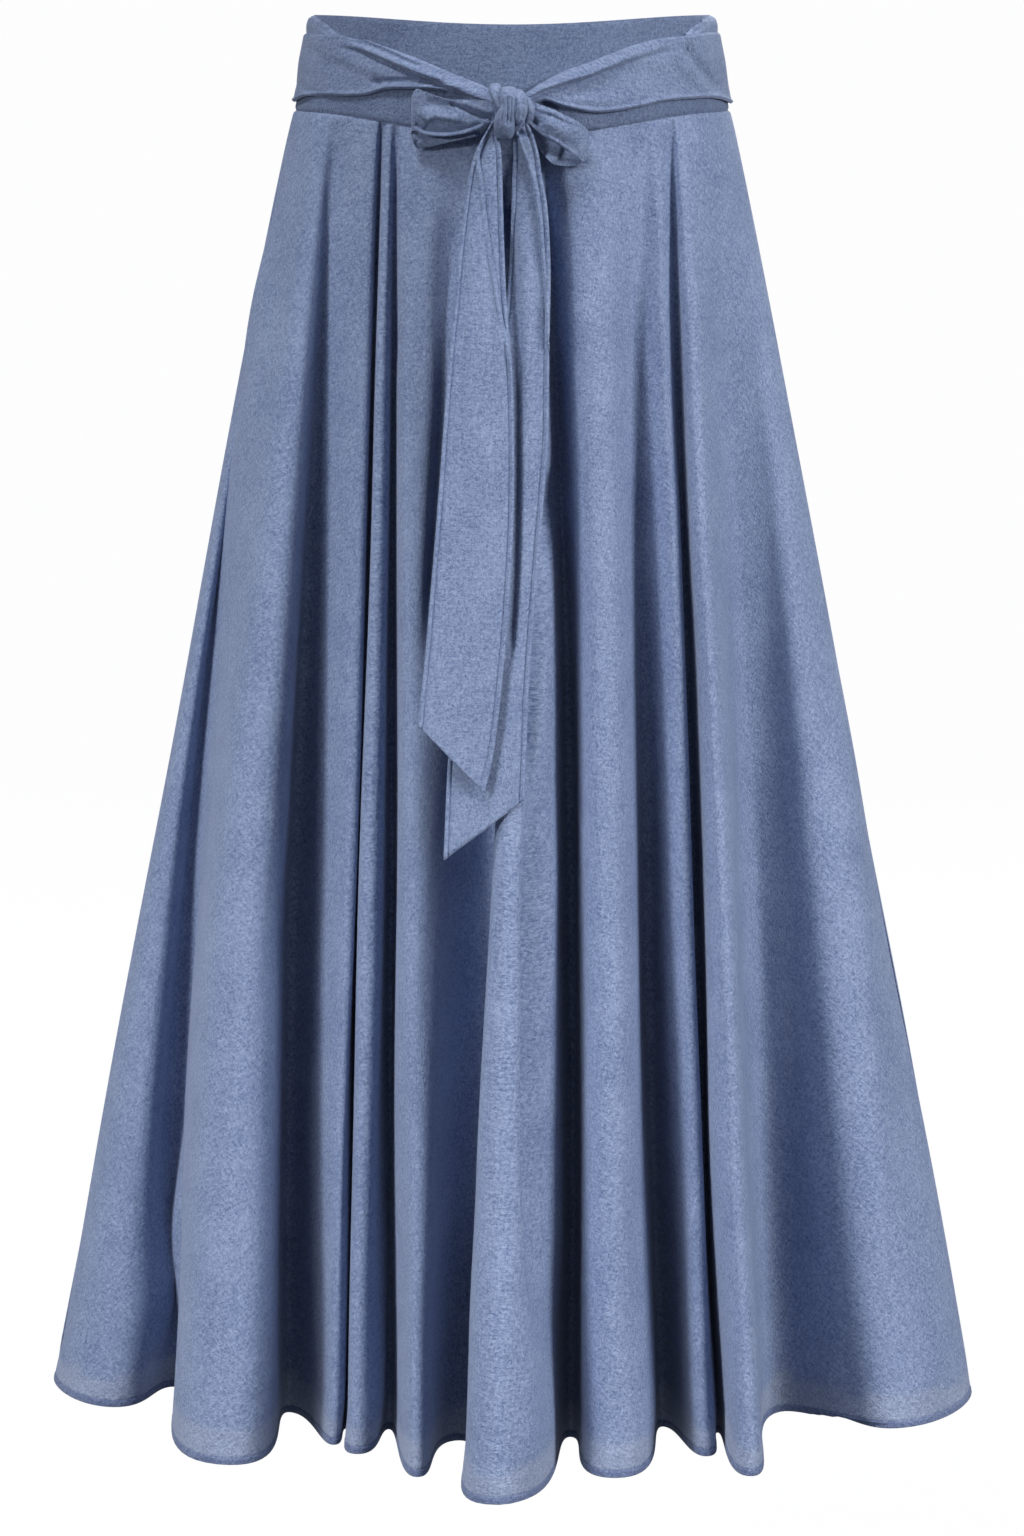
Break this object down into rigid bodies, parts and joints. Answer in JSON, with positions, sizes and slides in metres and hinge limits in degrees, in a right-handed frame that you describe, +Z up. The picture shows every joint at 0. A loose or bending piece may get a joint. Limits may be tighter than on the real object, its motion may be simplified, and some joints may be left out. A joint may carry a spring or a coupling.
{
  "type": "chambray skirt",
  "caption": "Long flared skirt hanging in deep flutes from a fitted yoke, with a sash wound round the waist and tied in a bow in front.",
  "frame": {"origin": "middle of the waist, level with the yoke's top edge at the sides, where the wearer's waist holds the skirt", "axes": "+Z up, the front with the bow faces -Y, +X is the wearer's left"},
  "size_m": [0.64, 0.527, 0.9436],
  "materials": {
    "skirt": "light woven chambray, blue warp and pale weft, soft satin sheen",
    "sash": "the same chambray, sewn double"
  },
  "bodies": {
    "root": {"yoke_front": "skirt", "yoke_back": "skirt", "skirt_front": "skirt", "skirt_back": "skirt", "sash_back": "sash", "sash_left": "sash", "sash_right": "sash", "sash_tuck_left": "sash", "sash_tuck_right": "sash", "knot": "sash", "loop_left": "sash", "loop_right": "sash", "tail_left": "sash", "tail_right": "sash"}
  },
  "joints": []
}
